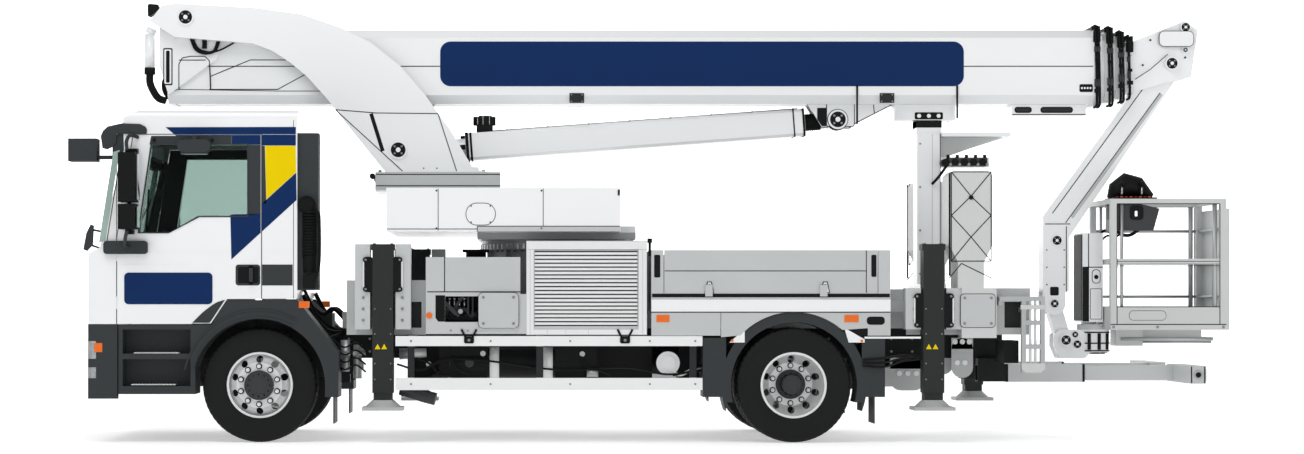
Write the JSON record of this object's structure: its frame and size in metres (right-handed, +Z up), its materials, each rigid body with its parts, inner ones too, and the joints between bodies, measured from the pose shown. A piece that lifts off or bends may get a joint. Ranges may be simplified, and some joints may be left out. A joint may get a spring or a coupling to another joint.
{
  "type": "cherry picker truck",
  "caption": "Two-axle lorry with a slewing telescopic boom, folding jib, levelled work basket, sliding outriggers, drop-side bed and roller-shutter cabinets.",
  "frame": {"origin": "on the ground, under the middle of the truck's overall box", "axes": "+Z up, +X towards the rear of the truck (it faces -X), +Y towards the driver's side"},
  "size_m": [10.434, 3, 3.9625],
  "materials": {
    "white_paint": "gloss",
    "grey_paint": "satin",
    "dark_paint": "satin",
    "chassis_paint": "satin",
    "cab_paint": "gloss",
    "dark_plastic": "matte",
    "interior_plastic": "matte",
    "glass": "clear",
    "lamp_glass": "clear",
    "rim_paint": "satin",
    "tyre_rubber": "matte",
    "aluminium": "brushed",
    "steel": "ground",
    "tank_paint": "satin",
    "basket_grey": "satin"
  },
  "bodies": {
    "chassis": {"chassis_frame": "chassis_paint", "front_axle": "chassis_paint", "rear_axle": "chassis_paint", "drivetrain": "chassis_paint", "cab_shell": "cab_paint", "bumper": "dark_plastic", "cab_cladding": "dark_plastic", "windscreen": "glass", "headlamps": "lamp_glass", "cab_trim": "dark_plastic", "cab_interior": "interior_plastic", "support_frame": "grey_paint", "side_cabinets": "grey_paint", "load_bed": "grey_paint", "boom_rest": "grey_paint", "rear_cabinets": "grey_paint", "side_rails": "aluminium", "tanks": "tank_paint", "rear_fenders": "dark_plastic", "tail_steps": "grey_paint"},
    "steer_left": {"knuckle_left": "chassis_paint"},
    "steer_right": {"knuckle_right": "chassis_paint"},
    "wheel_front_left": {"rim_front_left": "rim_paint", "tyre_front_left": "tyre_rubber"},
    "wheel_front_right": {"rim_front_right": "rim_paint", "tyre_front_right": "tyre_rubber"},
    "wheels_rear_left": {"rim_rear_left": "rim_paint", "tyre_rear_left": "tyre_rubber"},
    "wheels_rear_right": {"rim_rear_right": "rim_paint", "tyre_rear_right": "tyre_rubber"},
    "cab_door_left": {"door_left": "cab_paint", "door_glass_left": "glass", "mirror_left": "dark_plastic"},
    "cab_door_right": {"door_right": "cab_paint", "door_glass_right": "glass", "mirror_right": "dark_plastic"},
    "board_left": {"drop_side_left": "grey_paint"},
    "board_right": {"drop_side_right": "grey_paint"},
    "upper_frame": {"turntable": "white_paint", "gooseneck": "white_paint"},
    "boom": {"boom_base": "white_paint"},
    "telescope_1": {"boom_section_1": "white_paint"},
    "telescope_2": {"boom_section_2": "white_paint"},
    "telescope_3": {"boom_section_3": "white_paint"},
    "cylinder_barrel": {"lift_barrel": "white_paint"},
    "cylinder_rod": {"lift_rod": "steel"},
    "folding_jib": {"jib": "white_paint"},
    "levelling_link": {"level_link": "grey_paint"},
    "basket_carrier": {"carrier": "grey_paint"},
    "work_basket": {"basket": "basket_grey", "basket_controls": "white_paint"},
    "underrun_guard": {"tail_bar": "grey_paint"},
    "beam_front_left": {"outrigger_beam_front_left": "dark_paint"},
    "jack_front_left": {"outrigger_jack_front_left": "dark_paint"},
    "beam_front_right": {"outrigger_beam_front_right": "dark_paint"},
    "jack_front_right": {"outrigger_jack_front_right": "dark_paint"},
    "beam_rear_left": {"outrigger_beam_rear_left": "dark_paint"},
    "jack_rear_left": {"outrigger_jack_rear_left": "dark_paint"},
    "beam_rear_right": {"outrigger_beam_rear_right": "dark_paint"},
    "jack_rear_right": {"outrigger_jack_rear_right": "dark_paint"}
  },
  "joints": [
    {"name": "steer_left_turn", "type": "hinge", "parent": "chassis", "child": "steer_left", "pos_m": [-3.54, -0.945, 0.507], "axis": [0, 0, 1], "range_deg": [-40, 40]},
    {"name": "steer_right_turn", "type": "hinge", "parent": "chassis", "child": "steer_right", "pos_m": [-3.54, 0.945, 0.507], "axis": [0, 0, 1], "range_deg": [-40, 40]},
    {"name": "front_left_spin", "type": "hinge", "parent": "steer_left", "child": "wheel_front_left", "pos_m": [-3.54, -1.025, 0.507], "axis": [0, 1, 0], "continuous": true},
    {"name": "front_right_spin", "type": "hinge", "parent": "steer_right", "child": "wheel_front_right", "pos_m": [-3.54, 1.025, 0.507], "axis": [0, 1, 0], "continuous": true},
    {"name": "rear_left_spin", "type": "hinge", "parent": "chassis", "child": "wheels_rear_left", "pos_m": [1.17, -1.078, 0.507], "axis": [0, 1, 0], "continuous": true},
    {"name": "rear_right_spin", "type": "hinge", "parent": "chassis", "child": "wheels_rear_right", "pos_m": [1.17, 1.078, 0.507], "axis": [0, 1, 0], "continuous": true},
    {"name": "door_left_hinge", "type": "hinge", "parent": "chassis", "child": "cab_door_left", "pos_m": [-4.785, -1.25, 1.9], "axis": [0, 0, -1], "range_deg": [0, 70]},
    {"name": "door_right_hinge", "type": "hinge", "parent": "chassis", "child": "cab_door_right", "pos_m": [-4.785, 1.25, 1.9], "axis": [0, 0, 1], "range_deg": [0, 70]},
    {"name": "board_left_hinge", "type": "hinge", "parent": "chassis", "child": "board_left", "pos_m": [0.97, -1.262, 1.3], "axis": [1, 0, 0], "range_deg": [0, 175]},
    {"name": "board_right_hinge", "type": "hinge", "parent": "chassis", "child": "board_right", "pos_m": [0.97, 1.262, 1.3], "axis": [-1, 0, 0], "range_deg": [0, 175]},
    {"name": "slew", "type": "hinge", "parent": "chassis", "child": "upper_frame", "pos_m": [-0.915, 0, 1.774], "axis": [0, 0, 1], "range_deg": [-140, 140]},
    {"name": "boom_raise", "type": "hinge", "parent": "upper_frame", "child": "boom", "pos_m": [-4.291, 0, 3.838], "axis": [0, -1, 0], "range_deg": [0, 75]},
    {"name": "barrel_swing", "type": "hinge", "parent": "upper_frame", "child": "cylinder_barrel", "pos_m": [-2.352, 0, 2.627], "axis": [0, -1, 0], "range_deg": [0, 81.65]},
    {"name": "rod_stroke", "type": "slide", "parent": "cylinder_barrel", "child": "cylinder_rod", "axis": [0.9973, 0, 0.0731], "range_m": [0, 2.71705]},
    {"name": "telescope_out_1", "type": "slide", "parent": "boom", "child": "telescope_1", "axis": [1, 0, 0], "range_m": [0, 6.5]},
    {"name": "telescope_out_2", "type": "slide", "parent": "telescope_1", "child": "telescope_2", "axis": [1, 0, 0], "range_m": [0, 6.5]},
    {"name": "telescope_out_3", "type": "slide", "parent": "telescope_2", "child": "telescope_3", "axis": [1, 0, 0], "range_m": [0, 6.5]},
    {"name": "jib_fold", "type": "hinge", "parent": "telescope_3", "child": "folding_jib", "pos_m": [4.757, 0, 3.436], "axis": [0, -1, 0], "range_deg": [0, 135]},
    {"name": "level_boom", "type": "hinge", "parent": "folding_jib", "child": "levelling_link", "pos_m": [3.69, 0, 1.225], "axis": [0, -1, 0], "range_deg": [-75, 0]},
    {"name": "level_jib", "type": "hinge", "parent": "levelling_link", "child": "basket_carrier", "pos_m": [3.789, 0, 0.889], "axis": [0, -1, 0], "range_deg": [-135, 0]},
    {"name": "basket_turn", "type": "hinge", "parent": "basket_carrier", "child": "work_basket", "pos_m": [4.07, 0, 0.985], "axis": [0, 0, 1], "range_deg": [-36, 36]},
    {"name": "underrun_slide", "type": "slide", "parent": "chassis", "child": "underrun_guard", "axis": [1, 0, 0], "range_m": [-0.6, 0]},
    {"name": "beam_out_front_left", "type": "slide", "parent": "chassis", "child": "beam_front_left", "axis": [0, -1, 0], "range_m": [0, 1.5]},
    {"name": "jack_down_front_left", "type": "slide", "parent": "beam_front_left", "child": "jack_front_left", "axis": [0, 0, -1], "range_m": [0, 0.6]},
    {"name": "beam_out_front_right", "type": "slide", "parent": "chassis", "child": "beam_front_right", "axis": [0, 1, 0], "range_m": [0, 1.5]},
    {"name": "jack_down_front_right", "type": "slide", "parent": "beam_front_right", "child": "jack_front_right", "axis": [0, 0, -1], "range_m": [0, 0.6]},
    {"name": "beam_out_rear_left", "type": "slide", "parent": "chassis", "child": "beam_rear_left", "axis": [0, -1, 0], "range_m": [0, 1.5]},
    {"name": "jack_down_rear_left", "type": "slide", "parent": "beam_rear_left", "child": "jack_rear_left", "axis": [0, 0, -1], "range_m": [0, 0.6]},
    {"name": "beam_out_rear_right", "type": "slide", "parent": "chassis", "child": "beam_rear_right", "axis": [0, 1, 0], "range_m": [0, 1.5]},
    {"name": "jack_down_rear_right", "type": "slide", "parent": "beam_rear_right", "child": "jack_rear_right", "axis": [0, 0, -1], "range_m": [0, 0.6]}
  ],
  "couplings": [
    {"joint": "steer_right_turn", "follows": "steer_left_turn", "ratio": 1},
    {"joint": "barrel_swing", "follows": "boom_raise", "ratio": 1.0885},
    {"joint": "rod_stroke", "follows": "boom_raise", "m_per_rad": 2.0753},
    {"joint": "telescope_out_2", "follows": "telescope_out_1", "ratio": 1},
    {"joint": "telescope_out_3", "follows": "telescope_out_1", "ratio": 1},
    {"joint": "level_boom", "follows": "boom_raise", "ratio": -1},
    {"joint": "level_jib", "follows": "jib_fold", "ratio": -1}
  ]
}
